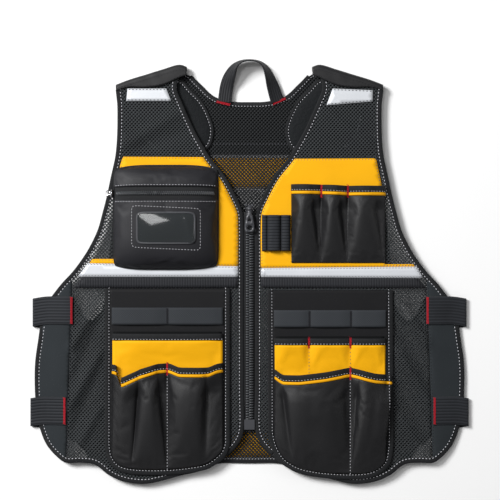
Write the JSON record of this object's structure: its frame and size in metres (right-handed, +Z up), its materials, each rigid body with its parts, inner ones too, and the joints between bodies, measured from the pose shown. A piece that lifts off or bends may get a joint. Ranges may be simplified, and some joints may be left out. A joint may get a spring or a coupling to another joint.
{
  "type": "utility work vest",
  "caption": "Sleeveless work vest lying on its back: mesh body, zip front, reflective strips, chest pouch, tool slots, layered lower pockets, side straps and hang loop.",
  "frame": {"origin": "centre of the vest's outline on the surface it lies on, z = 0 under the back's outer face", "axes": "+X across the vest, +Y toward the collar, +Z up through the thickness, from back to front"},
  "size_m": [0.62, 0.5999, 0.0353],
  "materials": {
    "mesh": "open knitted polyester mesh, matt",
    "nylon": "plain woven nylon with a soft sheen",
    "softshell": "charcoal padded knit, matt",
    "binding": "ribbed dark grey tape, matt",
    "yellow": "warm yellow woven polyester",
    "silver": "retroreflective silver cloth",
    "window": "clear flexible vinyl",
    "zip": "moulded dark grey",
    "metal": "bright plated zinc"
  },
  "bodies": {
    "vest": {"back_binding": "binding", "back_lower_band": "yellow", "back_mesh": "mesh", "back_neck_binding": "binding", "back_reflective_strip": "silver", "back_yellow_band": "yellow", "chest_pouch_front": "nylon", "chest_pouch_lid": "nylon", "chest_pouch_zip": "zip", "elastic_strap_lower_left": "binding", "elastic_strap_lower_right": "binding", "elastic_strap_upper_left": "binding", "elastic_strap_upper_right": "binding", "front_binding_left": "binding", "front_binding_right": "binding", "front_mesh_left": "mesh", "front_mesh_right": "mesh", "hang_loop": "binding", "lower_pocket_left": "nylon", "lower_pocket_left_piping": "yellow", "lower_pocket_left_rim": "binding", "lower_pocket_right": "nylon", "lower_pocket_right_piping": "yellow", "lower_pocket_right_rim": "binding", "outer_binding_left": "binding", "outer_binding_right": "binding", "pen_loops": "binding", "pouch_slider": "metal", "pouch_window": "window", "shoulder_flap_left": "nylon", "shoulder_flap_right": "nylon", "shoulder_pad_left": "softshell", "shoulder_pad_right": "softshell", "shoulder_strip_left": "silver", "shoulder_strip_right": "silver", "side_strip_left": "softshell", "side_strip_right": "softshell", "tool_pocket": "nylon", "tool_pocket_piping": "yellow", "tool_pocket_rim": "binding", "unit_backing_left": "nylon", "unit_backing_right": "nylon", "upper_pocket_left": "yellow", "upper_pocket_left_rim": "binding", "upper_pocket_right": "yellow", "upper_pocket_right_rim": "binding", "waist_strip_left": "silver", "waist_strip_right": "silver", "waistband_left": "binding", "waistband_right": "binding", "webbing_left": "binding", "webbing_right": "binding", "yellow_chest_left": "yellow", "yellow_chest_right": "yellow", "zip_slider": "zip", "zip_stop": "zip", "zip_tape": "zip", "zip_teeth": "zip"},
    "zip_pull_body": {"zip_pull": "zip"},
    "pouch_pull_body": {"pouch_pull": "metal"}
  },
  "joints": [
    {"name": "zip_pull_hinge", "type": "hinge", "parent": "vest", "child": "zip_pull_body", "pos_m": [0, 0.0876, 0.0174], "axis": [-1, 0, 0], "range_deg": [0, 150]},
    {"name": "pouch_pull_hinge", "type": "hinge", "parent": "vest", "child": "pouch_pull_body", "pos_m": [-0.19395, 0.10952, 0.0171], "axis": [0, 1, 0], "range_deg": [0, 110]}
  ]
}
